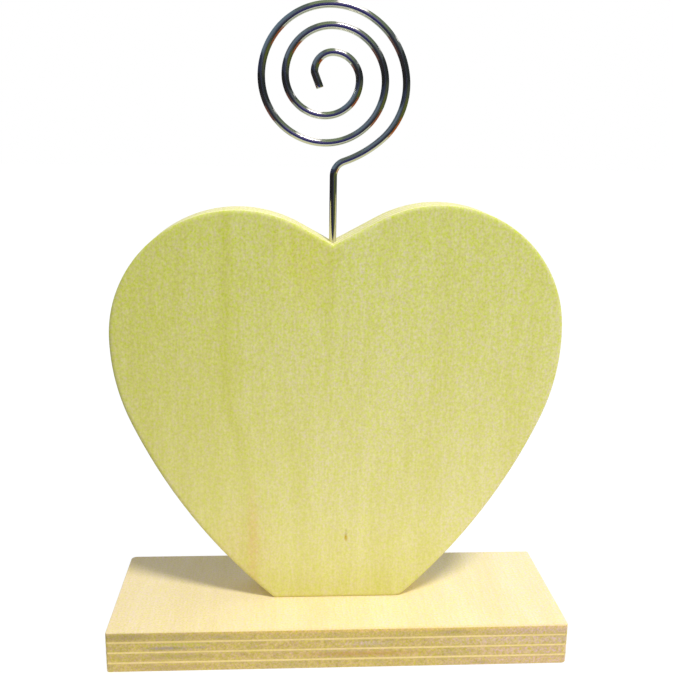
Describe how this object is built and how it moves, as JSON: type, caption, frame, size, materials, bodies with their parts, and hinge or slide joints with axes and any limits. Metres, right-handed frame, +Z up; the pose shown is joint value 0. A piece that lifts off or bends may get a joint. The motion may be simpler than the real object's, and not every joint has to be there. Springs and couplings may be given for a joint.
{
  "type": "photo holder",
  "caption": "Plywood heart on a plywood base, with a swivelling spiral of spring wire that grips a photo or card between its turns.",
  "frame": {"origin": "middle of the base's underside", "axes": "+X to the right of someone who faces the heart, +Y away from them, +Z up"},
  "size_m": [0.13, 0.045, 0.1807],
  "materials": {
    "thick_ply": "sanded, unvarnished",
    "cross_ply": "sanded, unvarnished",
    "plated_wire": "bright nickel plate",
    "zinc_screw": "zinc plated"
  },
  "bodies": {
    "stand": {"base_ply_1": "thick_ply", "base_ply_2": "cross_ply", "base_ply_3": "thick_ply", "base_ply_4": "cross_ply", "base_ply_5": "thick_ply", "base_ply_6": "cross_ply", "base_ply_7": "thick_ply", "heart_ply_1": "thick_ply", "heart_ply_2": "cross_ply", "heart_ply_3": "thick_ply", "heart_ply_4": "cross_ply", "heart_ply_5": "thick_ply", "heart_ply_6": "cross_ply", "heart_ply_7": "thick_ply", "heart_screws": "zinc_screw"},
    "clip": {"photo_clip": "plated_wire"}
  },
  "joints": [
    {"name": "clip_swivel", "type": "hinge", "parent": "stand", "child": "clip", "pos_m": [-0.0023, 0.0012, 0.1172], "axis": [0, 0, 1], "continuous": true}
  ]
}
